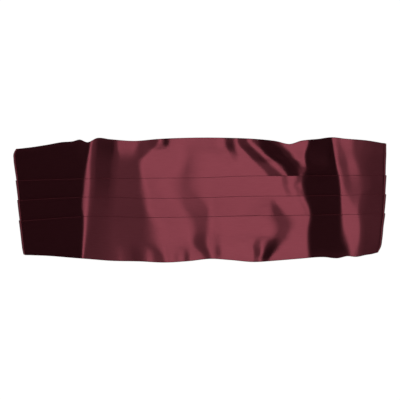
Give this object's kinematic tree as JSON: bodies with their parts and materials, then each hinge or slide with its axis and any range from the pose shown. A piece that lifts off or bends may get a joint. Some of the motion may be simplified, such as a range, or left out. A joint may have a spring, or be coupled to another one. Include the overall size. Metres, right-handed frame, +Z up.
{
  "type": "pleated cummerbund",
  "caption": "Pleated satin waist sash, closed to a flat loop at the back by webbing straps and a clasp.",
  "frame": {"origin": "middle of the footprint, on the surface that the sash lies on", "axes": "+X along the sash to the right as seen from the front, +Y across it to its upper edge, +Z up out of its front"},
  "size_m": [0.3922, 0.1322, 0.0272],
  "materials": {
    "satin": "lustrous satin, folded and pressed",
    "webbing": "matt woven webbing",
    "nickel": "polished nickel plate"
  },
  "bodies": {
    "root": {"top_band": "satin", "upper_pleat": "satin", "lower_pleat": "satin", "bottom_band": "satin", "left_strap": "webbing", "right_strap": "webbing", "clasp": "nickel"}
  },
  "joints": []
}
